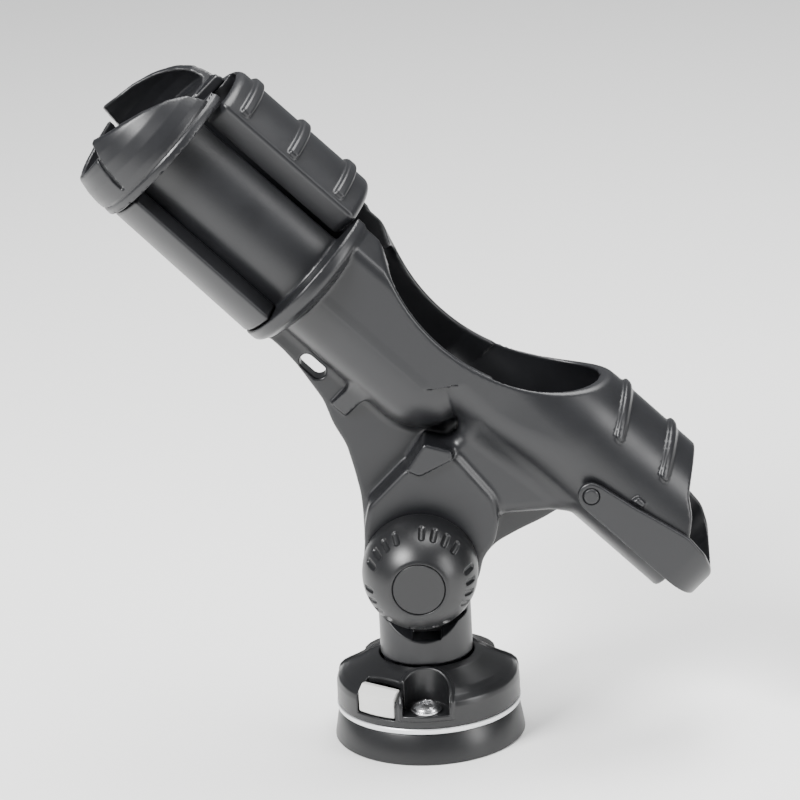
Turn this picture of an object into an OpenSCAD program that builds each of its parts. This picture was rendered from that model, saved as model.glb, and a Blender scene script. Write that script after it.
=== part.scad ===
// Clamp-tilt rod holder on a quick-release deck port.
// Frame: origin at the centre of the base ring's underside, +Z up off the deck,
// the rod tube leans towards -X, and the clamp knob faces -Y.

/* [Deck port] */
// Diameter of the base ring where it meets the deck
base_d = 80; // [79:0.5:82]
// Height of the base ring
base_h = 13.3; // [13:0.1:13.6]
// Height of the cover's top face above the deck
cover_top = 36.3; // [36:0.1:36.8]
// Pitch circle diameter of the fixing screws
screw_pcd = 64; // [63:0.5:65]
// Travel of the release button
button_travel = 3; // [2:0.5:3]

/* [Post and pivot] */
// Diameter of the post
post_d = 38.8; // [38:0.2:39.2]
// Height of the tilt pivot above the deck
pivot_h = 81.5; // [80:0.5:86]
// Thickness of the post's lug between the cradle's cheeks
lug_t = 14; // [12:0.5:15]
// Diameter of the pivot bolt
bolt_d = 8; // [7:0.5:8]
// Diameter of the clamp knob
knob_d = 48; // [46:0.5:50]

/* [Cradle] */
// Lean of the rod tube from upright
lean = 45; // [40:1:50]
// Distance from the pivot to the barrel's axis
barrel_off = 59; // [58:0.5:60]
// Outside diameter of the barrel
barrel_d = 49; // [48.6:0.2:49.4]
// Bore of the barrel
barrel_bore = 43; // [42:0.5:44]
// Width of the slot that a rod drops through
slot_w = 25; // [22:0.5:26]
// Outside diameter of the rear cup
cup_d = 55; // [54.6:0.2:55.4]
// Bore of the rear cup
cup_bore = 46; // [44:0.5:48]
// Thickness of the web that carries the barrel
web_t = 9; // [7:0.5:11]

/* [Collar] */
// Outside diameter of the collar
collar_d = 68.6; // [67:0.2:69.4]
// Thickness of the collar's skin
collar_skin = 2.8; // [2.4:0.1:3.2]

/* [Hidden] */
$fn = 96;

black = [0.11, 0.11, 0.12];
grip_black = [0.08, 0.08, 0.085];
silver = [0.82, 0.83, 0.84];
button_grey = [0.72, 0.72, 0.71];
steel = [0.66, 0.66, 0.67];
brass = [0.75, 0.6, 0.3];

gap = 0.3;            // clearance between parts that move past each other
fit = 0.05;           // radial clearance of a running fit
base_r = base_d / 2;
base_top_r = base_r - 2.1;
cover_r = base_r - 1.5;
socket_r = 24;
flange_r = cover_r - 1.3;
flange_top = base_h + 1.9;
trim_h = 2.4;
screw_ring = screw_pcd / 2;
screw_count = 3;
screw_r = 2.5;
pocket_r = 9.65;
pocket_floor = 21.7;
pocket_wall = 2.2;
pocket_base = pocket_floor - 2.2;
star_side = 26;       // across the flats of each of the two squares in the spigot
star_turn = 10.5;     // puts one flat of the star square to the release button
star_points = 8;
spigot_low = 5;
button_az = -34.5;    // bearing of the release button, seen from the front
button_w = 18.4;
button_in = 32;       // radius of the button's inner face
button_low = 19.6;
button_step = [27.6, 31.4];   // heights of the crease and the top of the button
yoke_low = flange_top + 0.4;
yoke_t = 2.4;
yoke_r = 24.4;
yoke_bore = 20.4;     // clear of the spigot's corners all round
post_r = post_d / 2;
seat_r = 31;          // the faces cut back on both sides of the lug
bolt_r = bolt_d / 2;
cheek_y = post_r + 0.1;
boss_r = 23.6;
knob_r = knob_d / 2;
knob_mid = 26.5;      // distance from the pivot plane to the knob's widest circle
knob_back = cheek_y + 1.9;
knob_face = 47.4;
cap_r = 10.8;
insert_r = 7;

barrel_r = barrel_d / 2;
flange_big_r = 36;
rear_flange = [113, 119];    // along the barrel from the foot of the pivot's normal
front_flange = [193, 200];
barrel_foot = 54;
nose_tip = 221;
cup_r = cup_d / 2;
cup_off = barrel_off + 24;
cup_floor = cup_off - cup_r;
wall_top_r = 35;             // the slot's lips, measured from the barrel's axis
mouth_r = 80;                // the scooped reel opening
mouth_at = [157.5, 60];
stud_at = [73.5, -28];
stud_r = 3.4;
strap_y = 28.3;
strap_t = 2.8;
strap_end = -59.5;
strap_reach = 31.5;
strap_corner = 15.8;
eye_at = [30, 88];
eye_size = [6.2, 12.6];
collar_in = barrel_r + 0.35;
collar_r = collar_d / 2;
collar_z = [rear_flange[1] + 0.5, front_flange[0] - 0.5];
collar_open = [28.5, 127];   // bearings of the collar's two edges, from the slot towards the front
grip_centre = [3.2, 5.4];     // the grip's crest lies behind the slot
grip_circle = 38.6;
grip_far = -42;

// ---------- helpers ----------

// Tube frame: x is off the pivot, square to the barrel, z runs up the barrel.
module in_tube() translate([0, 0, pivot_h]) rotate([0, -lean, 0]) children();

// A shape drawn as [off, along] and given a thickness across the part.
module side(t) rotate([90, 0, 0]) linear_extrude(t, center = true) children();

// A rod across the part.
module across(r, from, to) rotate([-90, 0, 0]) translate([0, 0, from]) cylinder(r = r, h = to - from);

// Copies round the port, the first one to the front.
module screws_round() for (i = [0 : screw_count - 1])
    rotate(i * 360 / screw_count) translate([0, -screw_ring]) children();

module star(side_w) rotate(star_turn) {
    square(side_w, center = true);
    rotate(360 / star_points) square(side_w, center = true);
}

module ring(r_out, r_in, from, to) translate([0, 0, from]) difference() {
    cylinder(r = r_out, h = to - from);
    translate([0, 0, -1]) cylinder(r = r_in, h = to - from + 2);
}

// ---------- deck port ----------

gasket = [34.8, 38.6, 1.2];

module base_ring() color(black) difference() {
    rotate_extrude() polygon([[socket_r + 0.2, 0], [base_r, 0],
                              [base_top_r, base_h], [socket_r + 0.2, base_h]]);
    ring(gasket[1], gasket[0], -1, gasket[2]);
    screws_round() translate([0, 0, -1]) cylinder(r = screw_r + 0.25, h = base_h + 2);
    for (x = [-3, 3]) translate([x, -base_r, 0]) cube([0.4, 0.9, 3 * base_h], center = true);
}

module base_gasket() color(grip_black) ring(gasket[1], gasket[0], 0, gasket[2]);

module port_socket() color(black) difference() {
    union() {
        cylinder(r = socket_r, h = flange_top);
        translate([0, 0, base_h]) cylinder(r = flange_r, h = flange_top - base_h);
        intersection() {
            screws_round() cylinder(r = 4, h = pocket_base - gap);
            cylinder(r = cover_r - 3, h = 60);
        }
    }
    screws_round() translate([0, 0, -1]) cylinder(r = screw_r + 0.25, h = 40);
    translate([0, 0, spigot_low - gap]) linear_extrude(30) star(star_side + 2 * gap);
    difference() {
        translate([0, 0, -1]) cylinder(r = base_r, h = base_h + 1);
        translate([0, 0, -2]) cylinder(r = socket_r, h = base_h + 3);
    }
}

module trim_ring() color(silver) translate([0, 0, base_h + 0.1]) rotate_extrude()
    polygon([[flange_r + 0.1, 0], [cover_r, 0], [cover_r + 0.3, 0.4], [cover_r + 0.3, trim_h - 0.4],
             [cover_r, trim_h], [flange_r + 0.1, trim_h]]);

cover_low = base_h + 0.1 + trim_h;

module dome(grow) rotate_extrude() polygon([
    [0, cover_low], [cover_r + grow, cover_low], [cover_r + grow, 24.6 + grow],
    [cover_r - 0.7 + grow, 26.8 + grow], [cover_r - 2.7 + grow, 28.8 + grow],
    [33 + grow, 30.7 + grow], [28, 33.3 + grow], [24, 35.5 + grow],
    [21.6, cover_top + grow], [0, cover_top + grow]]);

module button_window() rotate(button_az) {
    translate([-button_w / 2 - 0.4, -cover_r - 5, button_low - 0.5])
        cube([button_w + 0.8, cover_r + 5.4 - button_in + button_travel, 20]);
    translate([-5.5, -36, yoke_low - gap]) cube([11, 10, 6]);
}

module pocket() {
    cylinder(r = pocket_r, h = 30);
    translate([-pocket_r, -20, 0]) cube([2 * pocket_r, 20, 30]);
}

module port_cover() color(black) difference() {
    union() {
        difference() {
            dome(0);
            translate([0, 0, -2.6]) dome(-2.6);
            translate([0, 0, cover_low - 1]) cylinder(r = cover_r - 2.6, h = 8);
        }
        intersection() {
            dome(0.8);
            screws_round() difference() {
                translate([0, 0, pocket_base]) cylinder(r = pocket_r + pocket_wall, h = 30);
                translate([-20, -40, 0]) cube([40, 34, 60]);
            }
        }
        intersection() {
            dome(0);
            screws_round() union() {
                translate([0, 0, pocket_base]) cylinder(r = pocket_r + pocket_wall, h = 30);
                translate([-pocket_r - pocket_wall, -20, pocket_base])
                    cube([2 * (pocket_r + pocket_wall), 20, 30]);
            }
        }
        rotate(button_az) translate([-4, -25, 20.5]) cube([8, 1.8, 13]);
    }
    screws_round() {
        translate([0, 0, pocket_floor]) pocket();
        cylinder(r = screw_r + 0.25, h = 30);
    }
    button_window();
    cylinder(r = post_r + 0.5, h = 60);
}

module fixing_screws() color(steel) screws_round() {
    translate([0, 0, 0.6]) cylinder(r = screw_r, h = pocket_floor - 0.6);
    translate([0, 0, pocket_floor]) difference() {
        union() {
            cylinder(r = 6.6, h = 1.2);
            cylinder(r1 = 6.2, r2 = 5.6, h = 3.2);
            translate([0, 0, 3.2]) cylinder(r1 = 5.6, r2 = 3.6, h = 1.2);
        }
        for (a = [45, 135]) rotate(a) translate([0, 0, 4.4]) cube([6.4, 1.3, 3.4], center = true);
    }
}

spring_r = 2.1;
wire_r = 0.35;
spring_turns = 4;
spring_len = 2.8;
spring_steps = 16;
function coil(i) = let (a = i * 360 / spring_steps)
    [spring_r * cos(a), -i * spring_len / (spring_steps * spring_turns), spring_r * sin(a)];

module lock_spring() {
    n = spring_steps * spring_turns;
    sides = 6;
    points = [for (i = [0 : n]) for (k = [0 : sides - 1])
        let (a = i * 360 / spring_steps, b = k * 360 / sides, c = coil(i))
        c + wire_r * [cos(b) * cos(a), sin(b), cos(b) * sin(a)]];
    faces = concat(
        [[for (k = [0 : sides - 1]) k]],
        [for (i = [0 : n - 1]) for (k = [0 : sides - 1])
            let (here = i * sides, ahead = here + sides, next = (k + 1) % sides)
            [here + k, ahead + k, ahead + next, here + next]],
        [[for (k = [sides - 1 : -1 : 0]) n * sides + k]]);
    color(steel) rotate(button_az) translate([0, -25 - wire_r, 23.6]) polyhedron(points, faces);
}

module release_button() color(button_grey) rotate(button_az) difference() {
    intersection() {
        side_x(button_w) polygon([[-cover_r, button_low], [-cover_r, button_step[0]], [-34.2, button_step[1]],
                                  [-button_in, button_step[1]], [-button_in, button_low]]);
        cylinder(r = cover_r - 0.6, h = 60);
    }
    translate([-4, -34, 18]) cube([8, 2, 6]);
}

// A shape drawn as [across, height] seen from the side, given a width along x.
module side_x(w) rotate([90, 0, 90]) linear_extrude(w, center = true) children();

module lock_yoke() color(button_grey) rotate(button_az) difference() {
    union() {
        translate([0, 0, yoke_low]) cylinder(r = yoke_r, h = yoke_t);
        translate([-5, -34, yoke_low]) cube([10, 12, yoke_t]);
        translate([-4, -34, yoke_low]) cube([8, 2, 24 - yoke_low]);
    }
    translate([0, 0, yoke_low - 1]) cylinder(r = yoke_bore, h = yoke_t + 2);
    translate([0, -button_travel, yoke_low - 1]) cylinder(r = yoke_bore, h = yoke_t + 2);
}

// ---------- post ----------

module post() color(black) difference() {
    union() {
        translate([0, 0, spigot_low]) linear_extrude(cover_top - spigot_low + 1) star(star_side);
        translate([0, 0, cover_top + gap]) cylinder(r = post_r, h = pivot_h - cover_top - gap);
        translate([0, 0, pivot_h]) across(post_r, -lug_t / 2, lug_t / 2);
    }
    for (s = [0, 180]) translate([0, 0, pivot_h]) rotate(s) {
        across(seat_r, -40, -lug_t / 2);
        rotate([90, 0, 0]) translate([0, 0, 12.7]) cylinder(r1 = seat_r, r2 = seat_r + 6, h = 11);
    }
    translate([0, 0, pivot_h]) across(bolt_r + fit, -30, 30);
    translate([-6, -post_r, pivot_h - seat_r - 3.6]) cube([12, 11, 6]);
}

// ---------- cradle ----------

module barrel_axis() translate([barrel_off, 0, 0]) children();

// The scoop that opens the body above the reel.
module reel_mouth() translate([mouth_at[0], 0, mouth_at[1]]) across(mouth_r, -60, 60);

module lip_section(r, half) intersection() {
    circle(r = r);
    translate([0, -half]) square([r + 1, 2 * half]);
}

module body_outside() {
    barrel_axis() {
        translate([0, 0, barrel_foot]) cylinder(r = barrel_r, h = front_flange[0] - barrel_foot + 2);
        translate([0, 0, barrel_foot]) sphere(r = barrel_r);
    }
    difference() {
        union() {
            barrel_axis() translate([0, 0, -20]) linear_extrude(rear_flange[0] + 22)
                lip_section(wall_top_r, barrel_r);
            translate([cup_floor, -barrel_r, -30]) cube([barrel_off - cup_floor + 1, 2 * barrel_r, 62]);
            translate([cup_off, 0, -90]) cylinder(r = cup_r, h = 120);
        }
        reel_mouth();
    }
    cup_ribs();
}

// Two raised bands over the top of the cup.
module cup_ribs() for (z = [-11, -37]) intersection() {
    translate([cup_off, 0, z]) rotate([0, 30, 0]) translate([0, 0, -2]) cylinder(r = cup_r + 12, h = 4);
    translate([cup_off, 0, -60]) difference() {
        cylinder(r = cup_r + 2.4, h = 80);
        translate([-60 + 10, -50, -1]) cube([60, 100, 90]);
    }
}

module web() {
    side(web_t) polygon([[-13, 19.5], [-8, 24.5], [-4, 27.2], [2, 34], [8, 42], [14, 51.5],
                         [19, 63], [23.2, 78], [25.8, 94], [26.6, 113], [60, 116], [60, -30],
                         [57, -31], [52, -29.5], [46, -27],
                         [36, -23.5], [26, -21.2], [13, -19.7], [0, 0]]);
    side(18) polygon([[24, 63], [42, 63], [42, 71], [21.5, 71]]);
}

// Both cheeks of the fork, drawn solid.
module fork_block() {
    across(boss_r, -cheek_y, cheek_y);
    side(2 * cheek_y) polygon([[-6, 26.5], [2, 30.5], [36, 30.5], [41, 26], [41, -2], [38, -10], [30, -16],
                               [21, -19.6], [10, -21], [0, 0]]);
}

// A point [off, along] turned clockwise about the pivot.
function turned(p, a) = [p[0] * cos(a) + p[1] * sin(a), p[1] * cos(a) - p[0] * sin(a)];

slot_half = post_r + 0.4;
slot_deep = 80;
slot_turns = [lean - 32, lean + 47];    // the post's bearings in the tube frame over the whole tilt

// Everything the fork must clear as it tilts on the post.
module fork_slot() side(lug_t + 2 * gap) polygon(concat(
    [for (k = [0 : 10]) let (a = -slot_turns[0] + k * (180 - slot_turns[1] + slot_turns[0]) / 10)
        1.007 * slot_half * [cos(a), sin(a)]],
    [turned([-slot_half, 0], slot_turns[1]), turned([-slot_half, -slot_deep], slot_turns[1]),
     turned([slot_half, -slot_deep], slot_turns[1]),
     turned([0, -1.3 * slot_deep], (slot_turns[0] + slot_turns[1]) / 2),
     turned([-slot_half, -slot_deep], slot_turns[0]), turned([slot_half, -slot_deep], slot_turns[0]),
     turned([slot_half, 0], slot_turns[0])]));

module nose() intersection() {
    barrel_axis() rotate_extrude() polygon([
        [barrel_r - 2, front_flange[0]], [35.2, front_flange[0]], [flange_big_r, front_flange[0] + 0.8],
        [flange_big_r, 196], [35.3, 196.6], [flange_big_r, 197.4], [flange_big_r, front_flange[1]],
        [35.4, 206],
        [34.1, 211], [32.2, 216], [29.6, nose_tip], [27.2, nose_tip], [28, 216], [24.5, 204],
        [barrel_bore / 2, front_flange[1] - 2], [barrel_bore / 2, front_flange[0]]]);
    union() {
        translate([58.5, 0, 184]) across(37.5, -60, 60);
        translate([20, -60, 180]) cube([100, 120, 18]);
        intersection() {
            translate([46, 0, 186]) across(26, -60, 60);
            translate([0, -60, 180]) cube([41, 120, 60]);
        }
    }
}

module cup_end() {
    // square end below the cup's axis, slanted end above it
    side(120) polygon([[0, -120], [140, -120], [140, -30], [110.5, -53], [82, -75], [70, -77.5], [0, -79]]);
}

stud_y = strap_y + strap_t + 0.8;

module studs() translate([stud_at[0], 0, stud_at[1]]) across(stud_r, -stud_y, stud_y);

// Small catches on the cup's sides, just above the strap's edge.
module catches() side(2 * strap_y + 3.4) polygon([[82.4, -41.5], [86, -43], [86, -47], [83.7, -47.5]]);

module cradle() color(black) in_tube() difference() {
    union() {
        difference() {
            union() {
                body_outside();
                barrel_axis() {
                    translate([0, 0, rear_flange[0]]) cylinder(r1 = 34.5, r2 = flange_big_r, h = 2.5);
                    translate([0, 0, rear_flange[0] + 2.5]) cylinder(r = flange_big_r, h = 3.5);
                }
                web();
                fork_block();
                studs();
                catches();
            }
            cup_end();
            fork_slot();
        }
        nose();
    }
    // rod tube
    barrel_axis() {
        translate([0, 0, barrel_foot]) cylinder(r = barrel_bore / 2, h = 200);
        translate([0, 0, barrel_foot]) sphere(r = barrel_bore / 2);
        translate([0, 0, -4]) linear_extrude(rear_flange[0] - 12)
            lip_section(wall_top_r - 2.8, barrel_bore / 2);
        translate([0, -slot_w / 2, 88]) cube([60, slot_w, 140]);
    }
    translate([cup_off, 0, -100]) cylinder(r = cup_bore / 2, h = 140);
    // lanyard eye
    side(40) round_slot(eye_at, eye_size);
    // pivot
    across(bolt_r + 0.1, -40, 40);
    rotate([-90, 0, 0]) translate([0, 0, cheek_y - 5.6]) cylinder(r = 7.7, h = 10, $fn = 6);
}

// A slot with round ends, its long side along the barrel.
module round_slot(at, size) translate(at) {
    square([size[0], size[1] - size[0]], center = true);
    for (s = [-1, 1]) translate([0, s * (size[1] - size[0]) / 2]) circle(d = size[0]);
}

module pivot_bolt() color(steel) in_tube() {
    rotate([-90, 0, 0]) translate([0, 0, cheek_y - 5.6]) cylinder(r = 7.5, h = 5.3, $fn = 6);
    across(bolt_r, -41, cheek_y - 5.6);
}

strap_eye_r = 6;
strap_outline = concat(
    [for (a = [15 : 15 : 180]) stud_at + strap_eye_r * [cos(a), sin(a)]],
    [[67.5, -95], [77, -95], [82, -89.5], [86, -80], [87.5, -70], [82.4, -46]]);

module butt_strap() color(black) in_tube() intersection() {
    difference() {
        translate([40, 0, strap_end]) strap_band();
        translate([stud_at[0], 0, stud_at[1]]) across(stud_r + fit, -60, 60);
    }
    side(120) polygon(strap_outline);
}

// The strap's U, standing up along x.
module strap_band() rotate([0, 90, 0]) difference() {
    strap_plan(strap_y + strap_t, strap_reach, strap_corner, 60);
    translate([0, 0, -1]) strap_plan(strap_y, strap_reach - strap_t, strap_corner - strap_t, 62);
}

module strap_plan(half, reach, corner, height) linear_extrude(height) {
    translate([-61, -half]) square([61 + reach - corner, 2 * half]);
    translate([-61, corner - half]) square([61 + reach, 2 * (half - corner)]);
    for (s = [-1, 1]) translate([reach - corner, s * (half - corner)]) circle(r = corner);
}

// ---------- knob ----------

module clamp_washer() color(steel) on_bolt()
    ring(washer_r, bolt_r + fit, cheek_y + 0.1, cheek_y + 0.1 + washer_t);

washer_r = 9.5;
washer_t = 1.6;
insert_t = 14;
cap_t = 1.5;
slot_groups = 5;
slots_in_group = 4;
slot_pitch = 14;
slot_first = 26;

// The bolt's axis, pointing out through the knob.
module on_bolt() translate([0, 0, pivot_h]) rotate([90, 0, 0]) children();

module knob() color(black) on_bolt() difference() {
    union() {
        translate([0, 0, knob_back]) cylinder(r1 = knob_r - 1.2, r2 = knob_r, h = 1.4);
        translate([0, 0, knob_back + 1.4]) cylinder(r = knob_r, h = knob_mid - knob_back - 1.4);
        intersection() {
            translate([0, 0, knob_mid]) sphere(r = knob_r);
            translate([0, 0, knob_mid]) cylinder(r = knob_r + 1, h = knob_face - knob_mid);
        }
    }
    translate([0, 0, knob_back - 1]) cylinder(r = insert_r, h = insert_t + 3);
    cylinder(r = bolt_r + 0.6, h = 43.4);
    ring(19.8, 11, knob_back - 1, 33);
    translate([0, 0, knob_face - cap_t - 0.1]) cylinder(r = cap_r + 0.1, h = 5);
    for (g = [0 : slot_groups - 1]) for (k = [0 : slots_in_group - 1])
        rotate(-slot_first - g * 360 / slot_groups - (k - (slots_in_group - 1) / 2) * slot_pitch)
            translate([0, 21.4, 37.5]) rotate([-62, 0, 0]) cube([1.4, 3.4, 5], center = true);
}

module knob_insert() color(brass) on_bolt() ring(insert_r, bolt_r + fit, knob_back, knob_back + insert_t);

module knob_cap() color(black) on_bolt()
    translate([0, 0, knob_face - cap_t - 0.1]) cylinder(r = cap_r, h = cap_t);

// ---------- collar ----------

// Bearings are measured round the barrel's axis, from the slot towards the front.
function spot(r, bearing) = [r * cos(bearing), -r * sin(bearing)];

// A wedge from the axis outwards, up to half a turn wide.
module wedge(from, to) polygon([[0, 0], for (k = [0 : 4]) spot(90, from + k * (to - from) / 4)]);

module band(r_out, r_in) difference() {
    circle(r = r_out);
    circle(r = r_in);
}

edge_deg = 5.5;

// The finger grip's outline: it rises from the near edge to a crest and falls to the far side.
module grip_outline(grow) intersection() {
    translate(grip_centre) circle(r = grip_circle + grow);
    wedge(grip_far, collar_open[0]);
}

module sleeve(from, to) translate([0, 0, from]) linear_extrude(to - from) children();

// The round part of the sleeve, without the grip and the opening.
module round_part() difference() {
    children();
    wedge(grip_far, collar_open[0]);
    wedge(collar_open[0] - 1, collar_open[1]);
}

module grip_shell() difference() {
    grip_outline(0);
    intersection() {
        translate(grip_centre) circle(r = grip_circle - collar_skin);
        wedge(grip_far + edge_deg, collar_open[0] - edge_deg);
    }
    circle(r = collar_in);
}

module collar() color(black) in_tube() barrel_axis() {
    sleeve(collar_z[0], collar_z[1]) {
        round_part() band(collar_r, collar_r - collar_skin);
        intersection() {
            band(collar_r, collar_in);
            wedge(collar_open[1], collar_open[1] + edge_deg);
        }
        intersection() {
            band(collar_r, collar_in);
            wedge(grip_far - edge_deg, grip_far);
        }
        grip_shell();
    }
    for (z = [collar_z[0], 143, 167, collar_z[1] - 2.6])
        sleeve(z, z + 2.6) round_part() band(collar_r - 1, collar_in);
    sleeve(collar_z[0], collar_z[0] + 2.6) difference() {
        grip_outline(-1);
        circle(r = collar_in);
    }
    sleeve(collar_z[0] + 2, collar_z[1] - 2) intersection() {
        band(collar_r + 1.4, collar_r - 1);
        wedge(collar_open[1] + 1, collar_open[1] + 9);
    }
    for (z = [131, 156, 181.5]) sleeve(z - 2.2, z + 2.2) difference() {
        grip_outline(2.6);
        translate(grip_centre) circle(r = grip_circle - 1);
    }
}

base_ring();
base_gasket();
port_socket();
trim_ring();
port_cover();
fixing_screws();
lock_spring();
release_button();
lock_yoke();
post();
cradle();
pivot_bolt();
butt_strap();
clamp_washer();
knob();
knob_insert();
knob_cap();
collar();
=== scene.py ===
from math import cos, pi, radians, sin, sqrt

import bmesh
import bpy
import numpy as np
from mathutils import Matrix, Vector


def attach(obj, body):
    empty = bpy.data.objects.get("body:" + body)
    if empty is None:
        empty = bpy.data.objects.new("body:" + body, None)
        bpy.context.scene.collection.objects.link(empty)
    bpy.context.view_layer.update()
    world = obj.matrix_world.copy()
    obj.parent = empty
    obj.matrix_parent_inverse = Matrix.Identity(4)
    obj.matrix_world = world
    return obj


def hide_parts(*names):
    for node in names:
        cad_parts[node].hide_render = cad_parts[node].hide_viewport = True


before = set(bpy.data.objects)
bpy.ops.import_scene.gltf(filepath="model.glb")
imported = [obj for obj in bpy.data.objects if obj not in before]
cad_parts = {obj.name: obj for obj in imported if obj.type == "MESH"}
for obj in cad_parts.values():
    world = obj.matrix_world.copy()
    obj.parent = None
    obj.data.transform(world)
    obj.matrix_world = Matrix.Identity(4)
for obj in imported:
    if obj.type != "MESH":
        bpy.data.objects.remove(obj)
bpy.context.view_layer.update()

# ---------- frame of the rod tube ----------
# Lengths are in millimetres. u runs up the barrel, w is the distance off the pivot towards the
# barrel, y is across; the origin is the tilt pivot.

PIVOT_H = 81.5
DIAG = sqrt(0.5)
BARREL_W = 59.0
BARREL_R = 24.5
BORE_R = 21.5
POST_R = 19.4


def tube_to_world(p):
    u, w, y = p[:, 0], p[:, 1], p[:, 2]
    return np.stack([(w - u) * DIAG, y, PIVOT_H + (u + w) * DIAG], axis=1)


def same(p):
    return p


# ---------- distance fields ----------


def rmin(a, b, r):
    """Union with a fillet of radius r."""
    return np.maximum(r, np.minimum(a, b)) - np.hypot(np.maximum(r - a, 0), np.maximum(r - b, 0))


def rmax(a, b, r):
    """Intersection with an edge rounded to radius r."""
    return -rmin(-a, -b, r)


def smooth(lo, hi, x):
    t = np.clip((x - lo) / (hi - lo), 0, 1)
    return t * t * (3 - 2 * t)


def softened(points, radius, steps=5):
    """The polygon with its corners rounded."""
    pts = np.array(points, float)
    out = []
    n = len(pts)
    for i in range(n):
        p, a, b = pts[i], pts[i - 1], pts[(i + 1) % n]
        la, lb = np.linalg.norm(a - p), np.linalg.norm(b - p)
        r = min(radius, 0.45 * la, 0.45 * lb)
        q0, q1 = p + (a - p) * r / la, p + (b - p) * r / lb
        for k in range(steps + 1):
            t = k / steps
            out.append((1 - t) ** 2 * q0 + 2 * t * (1 - t) * p + t * t * q1)
    return np.array(out)


class Outline:
    """Signed distance to a closed outline, read from a table."""

    def __init__(self, points, radius=0.0, step=0.4, margin=12.0):
        pts = softened(points, radius) if radius else np.array(points, float)
        self.low = pts.min(axis=0) - margin
        self.step = step
        size = np.ceil((pts.max(axis=0) + margin - self.low) / step).astype(int) + 2
        x = self.low[0] + step * np.arange(size[0])[:, None]
        y = self.low[1] + step * np.arange(size[1])[None, :]
        best = np.full(size, 1e9)
        inside = np.zeros(size, bool)
        for a, b in zip(pts, np.roll(pts, -1, axis=0)):
            e = b - a
            px, py = x - a[0], y - a[1]
            t = np.clip((px * e[0] + py * e[1]) / max(e @ e, 1e-12), 0, 1)
            best = np.minimum(best, (px - t * e[0]) ** 2 + (py - t * e[1]) ** 2)
            if abs(e[1]) > 1e-12:
                crosses = (a[1] <= y) != (b[1] <= y)
                inside ^= crosses & (px < e[0] * py / e[1])
        self.table = np.where(inside, -np.sqrt(best), np.sqrt(best))

    def __call__(self, x, y):
        gx = np.clip((x - self.low[0]) / self.step, 0, self.table.shape[0] - 1.001)
        gy = np.clip((y - self.low[1]) / self.step, 0, self.table.shape[1] - 1.001)
        i, j = gx.astype(int), gy.astype(int)
        fx, fy = gx - i, gy - j
        t = self.table
        near = t[i, j] * (1 - fy) + t[i, j + 1] * fy
        far = t[i + 1, j] * (1 - fy) + t[i + 1, j + 1] * fy
        return near * (1 - fx) + far * fx


BLOCK = 8
CORNERS = np.array([[i, j, k] for i in (0, 1) for j in (0, 1) for k in (0, 1)])
EDGES = [(a, b) for a in range(8) for b in range(a + 1, 8)
         if np.abs(CORNERS[a] - CORNERS[b]).sum() == 1]


def sampled(field, low, high, step):
    """The field on a grid; away from the surface only its sign is right."""
    low = np.array(low, float)
    blocks = np.ceil((np.array(high, float) - low) / (step * BLOCK)).astype(int) + 1
    shape = blocks * BLOCK
    ids = np.stack(np.meshgrid(*[np.arange(n) for n in blocks], indexing="ij"), axis=-1).reshape(-1, 3)
    centre = low + step * (ids * BLOCK + (BLOCK - 1) / 2)
    d = field(centre)
    grid = np.repeat(np.repeat(np.repeat(d.reshape(blocks), BLOCK, 0), BLOCK, 1), BLOCK, 2)
    near = ids[np.abs(d) < 1.25 * step * BLOCK]
    local = np.stack(np.meshgrid(*[np.arange(BLOCK)] * 3, indexing="ij"), axis=-1).reshape(-1, 3)
    cells = (near[:, None, :] * BLOCK + local[None]).reshape(-1, 3)
    for part in np.array_split(cells, max(1, len(cells) // 400000)):
        grid[part[:, 0], part[:, 1], part[:, 2]] = field(low + step * part)
    return grid.reshape(shape), low


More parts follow.
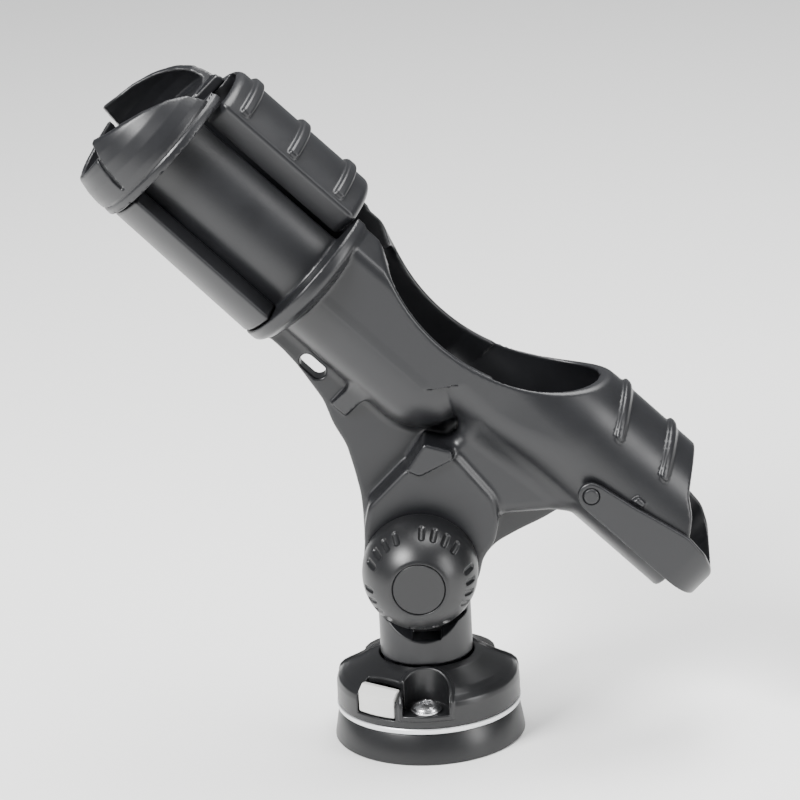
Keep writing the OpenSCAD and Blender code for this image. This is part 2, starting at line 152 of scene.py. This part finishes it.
def surface(field, low, high, step):
    """Vertices, quads and normals of the field's zero surface."""
    grid, low = sampled(field, low, high, step)
    solid = grid < 0
    count = np.zeros(np.array(grid.shape) - 1, np.int8)
    n = np.array(grid.shape) - 1
    for c in CORNERS:
        count += solid[c[0] : c[0] + n[0], c[1] : c[1] + n[1], c[2] : c[2] + n[2]]
    active = (count > 0) & (count < 8)
    index = np.full(active.shape, -1)
    cells = np.argwhere(active)
    index[active] = np.arange(len(cells))
    total = np.zeros((len(cells), 3))
    hits = np.zeros(len(cells))
    for a, b in EDGES:
        pa, pb = cells + CORNERS[a], cells + CORNERS[b]
        da, db = grid[tuple(pa.T)], grid[tuple(pb.T)]
        cut = (da < 0) != (db < 0)
        t = np.where(cut, da / np.where(cut, da - db, 1), 0)
        total[cut] += (CORNERS[a] + t[:, None] * (CORNERS[b] - CORNERS[a]))[cut]
        hits[cut] += 1
    verts = low + step * (cells + total / hits[:, None])
    quads = []
    for axis in range(3):
        i, j = (axis + 1) % 3, (axis + 2) % 3
        first = [slice(None)] * 3
        second = [slice(None)] * 3
        first[axis], second[axis] = slice(0, -1), slice(1, None)
        change = solid[tuple(first)] != solid[tuple(second)]
        at = np.argwhere(change)
        at = at[(at[:, i] > 0) & (at[:, j] > 0)]
        at = at[(at[:, i] < n[i]) & (at[:, j] < n[j])]
        ei, ej = np.eye(3, dtype=int)[i], np.eye(3, dtype=int)[j]
        ring = [at - ei - ej, at - ej, at, at - ei]
        quad = np.stack([index[tuple(r.T)] for r in ring], axis=1)
        flip = ~solid[tuple(at.T)]
        quad[flip] = quad[flip][:, ::-1]
        quads.append(quad[(quad >= 0).all(axis=1)])
    quads = np.concatenate(quads)
    start = verts.copy()
    for _ in range(3):
        d = field(verts)
        g = gradient(field, verts, 0.35 * step)
        move = -(d / np.maximum((g**2).sum(axis=1), 0.2))[:, None] * g
        verts = verts + np.clip(move, -0.5 * step, 0.5 * step)
        verts = start + np.clip(verts - start, -0.8 * step, 0.8 * step)
    g = gradient(field, verts, 0.3 * step)
    return verts, quads, g / np.maximum(np.linalg.norm(g, axis=1), 1e-6)[:, None]


def gradient(field, p, eps):
    out = np.empty_like(p)
    for k in range(3):
        e = np.zeros(3)
        e[k] = eps
        out[:, k] = (field(p + e) - field(p - e)) / (2 * eps)
    return out


# ---------- making pieces ----------


def new_piece(name, verts_mm, faces, body, nodes, material, normals=None):
    mesh = bpy.data.meshes.new(name)
    mesh.from_pydata((verts_mm / 1000).tolist(), [], [list(map(int, f)) for f in faces])
    mesh.materials.append(material)
    mesh.polygons.foreach_set("use_smooth", [True] * len(mesh.polygons))
    if normals is not None:
        mesh.normals_split_custom_set_from_vertices(normals.tolist())
    obj = bpy.data.objects.new(name, mesh)
    bpy.context.scene.collection.objects.link(obj)
    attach(obj, body)
    if nodes:
        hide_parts(*nodes)
    return obj


def carved(name, field, low, high, step, body, nodes, material, to_world=same):
    verts, quads, normals = surface(field, low, high, step)
    origin = to_world(np.zeros((1, 3)))
    normals = to_world(normals) - origin
    world = to_world(verts)
    # keep the faces pointing outwards whatever the frame's handedness
    a, b, c = (world[quads[:2000, k]] for k in (0, 1, 2))
    facing = (np.cross(b - a, c - a) * normals[quads[:2000, 0]]).sum()
    if facing < 0:
        quads = quads[:, ::-1]
    return new_piece(name, world, quads, body, nodes, material, normals)


def turned(name, profile, body, nodes, material, segments=160, to_world=same, sharp=35):
    """A closed profile of (radius, height) turned round the z axis."""
    pts = np.array(profile, float)
    n = len(pts)
    ang = np.arange(segments) * 2 * pi / segments
    verts = np.stack(
        [np.outer(np.cos(ang), pts[:, 0]), np.outer(np.sin(ang), pts[:, 0]), np.tile(pts[:, 1], (segments, 1))],
        axis=-1,
    ).reshape(-1, 3)
    faces = []
    for s in range(segments):
        a, b = s * n, ((s + 1) % segments) * n
        for k in range(n):
            m = (k + 1) % n
            faces.append((a + k, b + k, b + m, a + m))
    obj = new_piece(name, to_world(verts), faces, body, nodes, material)
    bm_fix(obj, sharp)
    return obj


def bm_fix(obj, sharp):
    """Merges the poles, points the faces outwards and marks the sharp edges."""
    bm = bmesh.new()
    bm.from_mesh(obj.data)
    bmesh.ops.remove_doubles(bm, verts=bm.verts, dist=1e-7)
    bmesh.ops.recalc_face_normals(bm, faces=bm.faces)
    for e in bm.edges:
        e.smooth = len(e.link_faces) != 2 or e.calc_face_angle(0) < radians(sharp)
    bm.to_mesh(obj.data)
    bm.free()


# ---------- materials ----------


def plastic(name, colour, rough, grain=0.02, grain_size=900.0, streaks=0.0, lines=(), metallic=0.0):
    """A moulded plastic: fine grain, a little mottling, and streaks round the barrel where asked."""
    mat = bpy.data.materials.new(name)
    mat.use_nodes = True
    tree = mat.node_tree
    tree.nodes.clear()
    new, link = tree.nodes.new, tree.links.new
    out = new("ShaderNodeOutputMaterial")
    bsdf = new("ShaderNodeBsdfPrincipled")
    link(bsdf.outputs["BSDF"], out.inputs["Surface"])
    bsdf.inputs["Metallic"].default_value = metallic
    coords = new("ShaderNodeTexCoord")
    mottle = new("ShaderNodeTexNoise")
    mottle.inputs["Scale"].default_value = 55.0
    mottle.inputs["Detail"].default_value = 5.0
    link(coords.outputs["Object"], mottle.inputs["Vector"])
    shade = new("ShaderNodeMix")
    shade.data_type = "RGBA"
    shade.inputs[6].default_value = (*[0.82 * c for c in colour], 1)
    shade.inputs[7].default_value = (*[min(1, 1.2 * c) for c in colour], 1)
    link(mottle.outputs["Fac"], shade.inputs[0])
    link(shade.outputs[2], bsdf.inputs["Base Color"])
    rough_map = new("ShaderNodeMapRange")
    rough_map.inputs["To Min"].default_value = rough - 0.07
    rough_map.inputs["To Max"].default_value = rough + 0.09
    link(mottle.outputs["Fac"], rough_map.inputs["Value"])
    link(rough_map.outputs["Result"], bsdf.inputs["Roughness"])
    fine = new("ShaderNodeTexNoise")
    fine.inputs["Scale"].default_value = grain_size
    fine.inputs["Detail"].default_value = 2.0
    link(coords.outputs["Object"], fine.inputs["Vector"])
    bump = new("ShaderNodeBump")
    bump.inputs["Strength"].default_value = 0.25
    bump.inputs["Distance"].default_value = grain / 1000
    link(fine.outputs["Fac"], bump.inputs["Height"])
    if streaks:
        along = new("ShaderNodeVectorMath")
        along.operation = "DOT_PRODUCT"
        along.inputs[1].default_value = (-DIAG, 0, DIAG)
        link(coords.outputs["Object"], along.inputs[0])
        one = new("ShaderNodeTexNoise")
        one.noise_dimensions = "1D"
        one.inputs["Scale"].default_value = 420.0
        one.inputs["Detail"].default_value = 3.0
        link(along.outputs["Value"], one.inputs["W"])
        turns = new("ShaderNodeBump")
        turns.inputs["Strength"].default_value = 0.35
        turns.inputs["Distance"].default_value = streaks / 1000
        link(one.outputs["Fac"], turns.inputs["Height"])
        link(bump.outputs["Normal"], turns.inputs["Normal"])
        bump = turns
    link(bump.outputs["Normal"], bsdf.inputs["Normal"])
    return mat


BLACK = plastic("black_nylon", (0.0085, 0.0088, 0.0102), 0.36, 0.03)
BARREL_BLACK = plastic("black_nylon_barrel", (0.0085, 0.0088, 0.0102), 0.35, 0.03, streaks=0.035)
PORT_BLACK = plastic("black_nylon_port", (0.008, 0.0082, 0.009), 0.33, 0.03)
KNOB_BLACK = plastic("black_rubber_grip", (0.0065, 0.0067, 0.0075), 0.37, 0.035)
SEAL_BLACK = plastic("black_seal_rubber", (0.012, 0.012, 0.012), 0.7, 0.03)
BUTTON_GREY = plastic("button_grey", (0.62, 0.62, 0.6), 0.4, 0.02)
SILVER = plastic("silver_trim", (0.78, 0.79, 0.8), 0.3, 0.01, metallic=0.75)
STEEL = plastic("stainless_steel", (0.62, 0.62, 0.63), 0.24, 0.008, metallic=1.0)
BRASS = plastic("brass", (0.72, 0.5, 0.2), 0.3, 0.01, metallic=1.0)

# ---------- cradle ----------

WEB_HALF = 4.5
CHEEK_Y = 19.5
SLOT_HALF = 12.5
CUP_W = 83.0
CUP_BORE = 23.0

web_outline = Outline(
    [(113, 27), (102, 27), (93, 26), (84, 24), (75, 22), (65, 17), (55, 14), (45, 8), (36, 2), (27, -6),
     (19, -14), (0, -10), (-16, 2), (-20, 13), (-20, 25), (-23, 35), (-27, 46), (-29, 54), (-30, 58),
     (-30, 62), (113, 62)],
    3.0)
fork_outline = Outline(
    [(26.5, -6), (30.5, 0), (33, 4), (33, 27), (28, 41), (22, 45), (-2, 42), (-10, 37.5), (-16, 28), (-17, 20),
     (-22, 10), (-10, -18), (10, -18)], 3.5)
haunch_outline = Outline([(27, 40), (27, 66), (-30, 66), (-28, 57), (-10, 37), (10, 36)], 3.0)
shelf_outline = Outline([(27, 29), (33, 27), (35.5, 41), (25, 46.5), (22, 44)], 1.2)
cup_end_outline = Outline(
    [(-52, 150), (260, 150), (260, -60), (-83, -60), (-80, 57), (-77, 70), (-74, 80), (-71.5, 86), (-66.5, 93),
     (-59.5, 98.5), (-56, 104), (-52.5, 110)], 1.5)
catch_outline = Outline([(-41.8, 82.6), (-43, 86), (-47, 86), (-47.5, 83.8)], 0.5, step=0.25)
rear_flange_outline = Outline(
    [(109, 20), (109, 24.6), (111.5, 32.5), (113.6, 35.4), (115, 36), (119, 36), (119, 20)], 0.9)
nose_outline = Outline(
    [(193, 20), (193, 36), (196.1, 36), (196.8, 35.2), (197.5, 36), (201, 36), (206, 35.3), (211, 33.9), (216, 31.7),
     (221, 28.6), (222, 27), (221.5, 25.6), (216, 28.4), (211, 30.8), (206, 32.2), (200.5, 32.6), (199, 30), (199, 20)],
    0.5, step=0.3)
PETAL_EDGE = np.array(
    [[0, 197.6], [32, 198], [36, 202], [39, 205.6], [50, 210.4], [67, 214.9], [86, 218], [103, 219.6], [114, 221],
     [117, 221], [120, 215], [150, 213], [180, 212]])


def tilt_sweep(u, w):
    """Distance to the space that the post needs as the cradle tilts on it."""
    middle, half = radians(52.5), radians(39.5)
    x = -w * sin(middle) - u * cos(middle)
    z = np.abs(-w * cos(middle) + u * sin(middle))
    t = np.maximum(x * cos(half) + z * sin(half), 0)
    far = np.hypot(x - t * cos(half), z - t * sin(half))
    inside = z * cos(half) < x * sin(half)
    return np.where(inside, -far, far) - (POST_R + 0.4)


def cradle_field(p):
    u, w, y = p[:, 0], p[:, 1], p[:, 2]
    a = np.abs(y)
    off = w - BARREL_W
    rb = np.hypot(off, y)
    # barrel with a round lower end
    low_end = np.minimum(u - 54, 0)
    tube = np.hypot(rb, low_end) - BARREL_R
    bore = np.hypot(rb, low_end) - BORE_R
    # trough and cup in one easing section
    half = 24.5 + 3.0 * smooth(25, -12, u)
    corner = 18 + 9.5 * smooth(25, -12, u)
    qy, qw = a - (half - corner), (55.5 + corner) - w
    floor = np.hypot(np.maximum(qy, 0), np.maximum(qw, 0)) + np.minimum(np.maximum(qy, qw), 0) - corner
    ring = np.hypot(w - CUP_W, y) - half
    trough = np.where(w > CUP_W, ring, floor)
    trough = rmax(trough, u - 50, 3)
    lips = rmax(rb - 35, a - BARREL_R, 2.0)
    lips = np.maximum(np.maximum(lips, 59 + 17 * smooth(54, 36, u) - w), np.maximum(-4 - u, u - 113))
    body = np.minimum(trough, lips)
    body = rmin(body, np.maximum(tube, u - 197), 0.4)
    mouth = 80 - np.hypot(u - 60, w - 157.5)
    body = rmax(body, mouth, 1.4)
    # bands over the cup
    cup_r = np.hypot(w - CUP_W, y)
    for u0, w0, nu, nw in ((-12, 115, 0.884, -0.468), (-38, 114, 0.894, -0.447)):
        s = (u - u0) * nu + (w - w0) * nw
        rib = rmax(cup_r - 29.2, np.abs(s) - 1.9, 1.5)
        rib = rmax(rib, 97 - w, 1.5)
        body = rmin(body, np.maximum(rib, 25 - cup_r), 1.0)
    # hollow
    well = rmax(rmax(rb - 32.2, a - BORE_R, 2), rmax(58 - w, np.maximum(-8 - u, u - 97), 2), 5)
    well = rmax(well, floor + 3.2 - 14 * smooth(44, 58, u), 1.5)
    hollow = rmin(well, np.maximum(cup_r - CUP_BORE, u - 34), 2)
    hollow = np.minimum(hollow, bore)
    # flanges
    rear = rear_flange_outline(u, rb)
    body = rmin(body, rear, 1.0)
    # web, fork and rib
    web = rmax(web_outline(u, w), a - WEB_HALF, 1.3)
    stay = rmax(np.abs(u - 68) - 4, a - (6.4 + (w - 24) * 0.36), 0.8)
    stay = rmax(rmax(stay, 23.5 - w, 0.8), w - 44, 0.5)
    web = rmin(web, stay, 1.2)
    boss = np.hypot(u, w) - 23.6
    fork = rmax(rmin(boss, fork_outline(u, w), 3), a - CHEEK_Y, 1.8)
    shelf = rmax(shelf_outline(u, w), a - 22.2, 1.2)
    web = rmin(web, rmin(fork, shelf, 0.4), 1.6)
    # the trough's underside runs down into the fork
    body = rmin(body, rmax(haunch_outline(u, w), a - 17, 6), 6)
    body = rmin(body, web, 3.5)
    # strap studs and catches
    stud = rmax(np.hypot(u + 28, w - 73.5) - 3.4, a - 31.9, 0.8)
    catch = rmax(catch_outline(u, w), a - 30, 0.8)
    body = np.minimum(body, np.minimum(stud, catch))
    body = rmax(body, cup_end_outline(u, w), 1.0)
    body = rmax(body, -hollow, 1.2)
    # nose
    angle = np.degrees(np.arctan2(a, off))
    edge = np.interp(angle, PETAL_EDGE[:, 0], PETAL_EDGE[:, 1])
    petals = rmax(nose_outline(u, rb), (u - edge) * 0.8, 0.9)
    slit = rmax((np.abs(angle - 118.5) * (pi / 180) * rb) - 0.8, 199.5 - u, 0.5)
    petals = rmax(petals, -slit, 0.4)
    petals = rmax(petals, -(rb - BORE_R), 0.4)
    body = np.minimum(body, petals)
    # openings
    gap = rmax(a - SLOT_HALF, 88 - u, 2)
    gap = np.maximum(gap, -off + 4)
    body = rmax(body, -gap, 1.0)
    body = rmax(body, -rmax(tilt_sweep(u, w), a - 7.3, 0.8), 1.0)
    eye = np.hypot(np.maximum(np.abs(u - 88) - 3.2, 0), w - 30) - 3.1
    body = rmax(body, -eye, 0.9)
    body = rmax(body, 4.1 - np.hypot(u, w), 0.3)
    nut = np.maximum(np.abs(w) * 0.866 + np.abs(u) * 0.5, np.abs(u)) - 6.7
    body = rmax(body, -np.maximum(nut, 13.9 - y), 0.3)
    return body


carved("cradle_body", cradle_field, (-94, -28, -40), (226, 118, 40), 1.0, "cradle", ["cradle"],
       BARREL_BLACK, tube_to_world)

# ---------- collar ----------

GRIP_AT = (3.2, -5.4)
GRIP_R = 38.6


def collar_field(p):
    u, x, f = p[:, 0], p[:, 1] - BARREL_W, -p[:, 2]
    r = np.hypot(x, f)
    outer = r - (34.5 + (192 - u) * 0.018)
    grip = np.hypot(x - GRIP_AT[0], f - GRIP_AT[1]) - GRIP_R
    near = r * np.sin(np.arctan2(f, x) - radians(29))
    near = np.where(x * cos(radians(29)) + f * sin(radians(29)) < 0, np.hypot(x, f), near)
    far_edge = -(x * sin(radians(42)) + f * cos(radians(42)))
    ribs = np.full(len(u), 1e3)
    for at in (182, 156.5, 131.5):
        crest = np.hypot(x - GRIP_AT[0], f - GRIP_AT[1]) - (GRIP_R + 1.9)
        one = rmax(crest, np.abs(u - at) - 2.2, 1.1)
        one = rmax(one, near + 3.0, 1.5)
        one = rmax(one, far_edge - 2, 1.5)
        ribs = np.minimum(ribs, one)
    shell = rmin(grip, ribs, 0.8)
    arch = rmax(shell, near, 1.6)
    arch = rmax(arch, np.abs(u - 156) - 36.4, 4)
    arch = np.maximum(arch, -(x + 6))
    # round part
    x1, f1, x2, f2 = -15.33, 19.62, -17.92, 29.25
    length = np.hypot(x2 - x1, f2 - f1)
    lower = -((x - x1) * (f2 - f1) - (f - f1) * (x2 - x1)) / length
    lower = np.where(x > 8, 40.0, -lower)
    # nothing of the round part is left above the window; all of it is kept on the far side
    opening = np.where(x + 0.3 * f > 14, 40.0, lower)
    keep = np.where(f < -2, -3.0, opening)
    around = rmax(outer, keep, 1.4)
    around = rmax(around, np.abs(u - 156) - 36.4, 1.4)
    body = rmin(arch, around, 1.2)
    room = np.hypot(x - GRIP_AT[0], f - GRIP_AT[1]) - (GRIP_R - 2.8)
    room = rmax(room, near + 2.8, 2.0)
    room = rmax(room, far_edge + 6, 2.0)
    room = np.maximum(np.maximum(room, 123 - u), 27.4 - r)
    body = rmax(body, -room, 0.6)
    return rmax(body, BARREL_R + 0.4 - r, 0.5)


carved("collar_body", collar_field, (116, 12, -44), (196, 108, 44), 0.8, "collar", ["collar"],
       BLACK, tube_to_world)

# ---------- butt strap ----------

strap_outline = Outline(
    [(-95, 67.5), (-28, 67.5), (-23.6, 69.4), (-22, 73.5), (-23.6, 77.7), (-28, 79.4), (-44, 82), (-58, 85), (-70, 87.4),
     (-80, 86.2), (-87, 82.5), (-91.5, 78), (-95, 76)], 2.0)


def strap_field(p):
    u, w, y = p[:, 0], p[:, 1], p[:, 2]
    qu, qy = -75.2 - u, np.abs(y) - 15.3
    mid = np.hypot(np.maximum(qu, 0), np.maximum(qy, 0)) + np.minimum(np.maximum(qu, qy), 0) - 14.4
    band = np.abs(mid) - 1.4
    body = rmax(band, strap_outline(u, w), 0.9)
    body = np.maximum(body, u + 20)
    return rmax(body, 3.5 - np.hypot(u + 28, w - 73.5), 0.3)


carved("butt_strap_band", strap_field, (-95, 64, -34), (-18, 91, 34), 0.6, "strap", ["butt_strap"],
       BLACK, tube_to_world)

# ---------- deck port ----------

base_profile = [(24.3, 0), (39.4, 0), (40, 0.5), (39.95, 1.4), (38.05, 12.6), (37.4, 13.3), (24.3, 13.3)]
turned("base_ring_body", base_profile, "port", ["base_ring"], PORT_BLACK)
trim_profile = [(37.4, 13.45), (38.3, 13.45), (38.75, 13.8), (38.8, 14.6), (38.75, 15.45), (38.4, 15.8),
                (37.4, 15.8)]
turned("trim_ring_band", trim_profile, "port", ["trim_ring"], SILVER)

dome_outline = Outline(
    [(-5, 15.95), (38.2, 15.95), (38.5, 16.3), (38.5, 24.6), (37.9, 26.8), (35.9, 28.8), (33, 30.7), (28, 33.3),
     (24, 35.4), (21, 36.25), (-5, 36.25)], 0.5, step=0.3)
POCKET_R = 9.65
POCKET_FLOOR = 21.7
SCREW_RING = 32.0
SCREW_TOP = 4.3  # above the pocket's floor
RECESS_DEPTH = 2.4
BUTTON_AZ = radians(-34.5)


def turned_to(x, y, angle):
    """Coordinates in a frame turned by angle about z."""
    return x * cos(angle) + y * sin(angle), -x * sin(angle) + y * cos(angle)


def cover_field(p):
    x, y, z = p[:, 0], p[:, 1], p[:, 2]
    r = np.hypot(x, y)
    dome = dome_outline(r, z)
    body = np.maximum(dome, -(dome + 2.6))
    body = np.maximum(body, -np.maximum(r - 35.9, z - 19.5))
    cuts = np.full(len(x), 1e3)
    for k in range(3):
        px, py = turned_to(x, y, k * 2 * pi / 3)
        side = np.where(py > -SCREW_RING, np.hypot(px, py + SCREW_RING), np.abs(px))
        side = np.where(py > 0, 60.0, side)
        wall = rmax(rmax(side - POCKET_R - 1.9, dome - 0.8, 0.8), 19.5 - z, 0.3)
        wall = np.maximum(wall, py + 8)
        body = rmin(body, wall, 0.7)
        pocket = np.maximum(side - POCKET_R, POCKET_FLOOR - z)
        cuts = np.minimum(cuts, pocket)
    body = rmax(body, -cuts, 0.5)
    bx, by = turned_to(x, y, BUTTON_AZ)
    window = np.maximum(np.maximum(np.abs(bx) - 9.6, by + 28.6), 19.1 - z)
    body = rmax(body, -window, 0.4)
    body = rmax(body, 19.9 - r, 0.4)
    for k in range(3):
        px, py = turned_to(x, y, k * 2 * pi / 3)
        body = np.maximum(body, 2.75 - np.hypot(px, py + SCREW_RING))
    return body


carved("port_cover_shell", cover_field, (-42, -42, 14), (42, 42, 40), 0.6, "port", ["port_cover"], PORT_BLACK)

button_outline = Outline([(37.9, 19.8), (37.9, 27.6), (34.2, 31.3), (32.1, 31.3), (32.1, 19.8)], 0.25, step=0.2)


def button_field(p):
    x, y, z = p[:, 0], p[:, 1], p[:, 2]
    bx, by = turned_to(x, y, BUTTON_AZ)
    r = np.hypot(x, y)
    body = rmax(button_outline(-by, z), np.abs(bx) - 9.1, 0.5)
    return rmax(body, r - 37.9, 0.4)


carved("release_button_pad", button_field, (-34, -42, 18), (0, -14, 33), 0.35, "button", ["release_button"], BUTTON_GREY)


def screw_field(p):
    x, y, z = p[:, 0], p[:, 1], p[:, 2] - POCKET_FLOOR
    r = np.hypot(x, y + SCREW_RING)
    flange = rmax(r - 6.6, np.abs(z - 0.6) - 0.6, 0.3)
    head = rmax(np.hypot(r, z + 4.2) - 8.5, r - 6.0, 0.4)
    head = rmax(head, -z, 0.1)
    body = rmin(flange, head, 0.3)
    c, s = cos(radians(20)), sin(radians(20))
    a, b = x * c + (y + SCREW_RING) * s, -x * s + (y + SCREW_RING) * c
    cross = np.minimum(np.maximum(np.abs(a) - 0.75, np.abs(b) - 3.1 + (SCREW_TOP - z) * 0.5),
                       np.maximum(np.abs(b) - 0.75, np.abs(a) - 3.1 + (SCREW_TOP - z) * 0.5))
    cross = np.maximum(cross, SCREW_TOP - RECESS_DEPTH - z)
    body = rmax(body, -cross, 0.15)
    shank = np.maximum(r - 2.45, np.abs(z + 10.5) - 10.6)
    return np.minimum(body, shank)


verts, quads, normals = surface(screw_field, (-7.6, -40.2, 0.2), (7.6, -24, 27), 0.3)
for k in range(3):
    turn = np.array(Matrix.Rotation(k * 2 * pi / 3, 3, "Z"))
    new_piece(f"fixing_screw_{k + 1}", verts @ turn.T, quads, "port", ["fixing_screws"], STEEL, normals @ turn.T)

# ---------- post ----------


def post_field(p):
    x, y, z = p[:, 0], p[:, 1], p[:, 2]
    a = np.abs(y)
    r = np.hypot(x, y)
    up = z - PIVOT_H
    column = rmax(r - POST_R, up, 0.2)
    column = rmax(column, 36.6 - z, 0.6)
    eye = np.hypot(x, up)
    head = np.maximum(eye - POST_R, a - 7)
    body = np.minimum(column, head)
    seat = eye - (31 + np.maximum(a - 12.7, 0) * 6 / 11)
    body = rmax(body, -rmax(seat, 7 - a, 0.6), 0.5)
    spigot = np.full(len(x), 1e3)
    for turn in (10.5, 55.5):
        sx, sy = turned_to(x, y, radians(turn))
        spigot = np.minimum(spigot, rmax(np.abs(sx) - 13, np.abs(sy) - 13, 0.4))
    spigot = rmax(spigot, np.abs(z - 21.3) - 16.2, 0.6)
    body = np.minimum(body, spigot)
    notch = np.maximum(np.maximum(np.abs(x - 1) - 6, np.abs(z - 51) - 3.4), y + 8.4)
    body = rmax(body, -notch, 0.4)
    return rmax(body, 4.1 - eye, 0.2)


carved("post_body", post_field, (-22, -22, 3), (22, 22, 104), 0.6, "post", ["post"], BLACK)

# ---------- knob ----------

DIMPLE_GROUPS = 5
DIMPLES = 4


def knob_to_world(p):
    """The knob is made upright: its z points out along -Y, its y up."""
    return np.stack([p[:, 0], -p[:, 2], PIVOT_H + p[:, 1]], axis=1)


def knob_field(p):
    x, v, s = p[:, 0], p[:, 1], p[:, 2]
    r = np.hypot(x, v)
    dome = np.hypot(r, np.maximum(s - 26.5, 0)) - 24
    body = rmax(dome, 21.4 - s, 1.6)
    body = rmax(body, s - 47.3, 0.5)
    recess = rmax(r - 10.95, 45.8 - s, 0.1)
    body = rmax(body, -recess, 0.25)
    for g in range(DIMPLE_GROUPS):
        for k in range(DIMPLES):
            at = -46 + g * 360 / DIMPLE_GROUPS + (k - (DIMPLES - 1) / 2) * 14
            c, t = cos(radians(at)), sin(radians(at))
            out, across = x * t + v * c, x * c - v * t
            # a capsule that follows the dome
            o1, s1, o2, s2 = 22.9, 35.2, 20.2, 40.0
            e = (o2 - o1, s2 - s1)
            h = np.clip(((out - o1) * e[0] + (s - s1) * e[1]) / (e[0] ** 2 + e[1] ** 2), 0, 1)
            d = np.sqrt((out - o1 - h * e[0]) ** 2 + (s - s1 - h * e[1]) ** 2 + across**2) - 1.35
            body = rmax(body, -d, 0.35)
    bore = rmax(r - 7.0, s - 38, 0.2)
    return rmax(body, -bore, 0.2)


carved("knob_body", knob_field, (-26, -26, 19), (26, 26, 49), 0.45, "knob", ["knob"], KNOB_BLACK, knob_to_world)
turned("knob_cap_disc", [(0.01, 45.85), (10.7, 45.85), (10.75, 47.0), (10.45, 47.35), (0.01, 47.4)], "knob", ["knob_cap"],
       KNOB_BLACK, segments=96, to_world=knob_to_world)

# ---------- the nodes that stay as they are ----------

for node, material in (("base_gasket", SEAL_BLACK), ("port_socket", PORT_BLACK), ("lock_spring", STEEL),
                       ("lock_yoke", BUTTON_GREY), ("pivot_bolt", STEEL), ("clamp_washer", STEEL),
                       ("knob_insert", BRASS)):
    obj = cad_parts[node]
    obj.data.materials.clear()
    obj.data.materials.append(material)

# ---------- floor, light and camera ----------


def stage_material(name, colour, rough):
    mat = bpy.data.materials.new(name)
    mat.use_nodes = True
    bsdf = mat.node_tree.nodes["Principled BSDF"]
    bsdf.inputs["Base Color"].default_value = (*colour, 1)
    bsdf.inputs["Roughness"].default_value = rough
    return mat


floor_mesh = bpy.data.meshes.new("floor")
floor_mesh.from_pydata([(-6, -6, 0), (6, -6, 0), (6, 6, 0), (-6, 6, 0)], [], [(0, 1, 2, 3)])
floor_mesh.materials.append(stage_material("pale_floor", (0.93, 0.93, 0.92), 0.6))
floor = bpy.data.objects.new("floor", floor_mesh)
bpy.context.scene.collection.objects.link(floor)

world = bpy.data.worlds.new("studio")
world.use_nodes = True
world.node_tree.nodes["Background"].inputs["Color"].default_value = (0.95, 0.97, 1.0, 1)
world.node_tree.nodes["Background"].inputs["Strength"].default_value = 0.3
bpy.context.scene.world = world


def softbox(name, place, target, size, power):
    light = bpy.data.lights.new(name, "AREA")
    light.shape = "RECTANGLE"
    light.size, light.size_y = size
    light.energy = power
    obj = bpy.data.objects.new(name, light)
    obj.location = place
    obj.rotation_euler = (Vector(target) - Vector(place)).to_track_quat("-Z", "Y").to_euler()
    bpy.context.scene.collection.objects.link(obj)


MIDDLE = (-0.01, 0, 0.15)
softbox("key_softbox", (-0.75, -0.75, 1.1), MIDDLE, (0.5, 0.5), 44)
softbox("top_softbox", (0.25, 0.25, 1.25), MIDDLE, (0.9, 0.9), 30)
softbox("right_softbox", (1.1, -0.6, 0.55), MIDDLE, (0.4, 0.8), 11)

EYE = Vector((0.0901, -2.0, 0.8491))
AIM = Vector((-0.006, 0.0, 0.1475))
ROLL = -0.0505
forward = (AIM - EYE).normalized()
right = forward.cross(Vector((0, 0, 1))).normalized()
up = right.cross(forward)
r_axis = right * cos(ROLL) + up * sin(ROLL)
u_axis = -right * sin(ROLL) + up * cos(ROLL)
camera_data = bpy.data.cameras.new("camera")
camera_data.lens = 231
camera_data.sensor_width = 36
camera_data.clip_end = 20
camera = bpy.data.objects.new("camera", camera_data)
camera.matrix_world = Matrix.Translation(EYE) @ Matrix((r_axis, u_axis, -forward)).transposed().to_4x4()
bpy.context.scene.collection.objects.link(camera)
bpy.context.scene.camera = camera
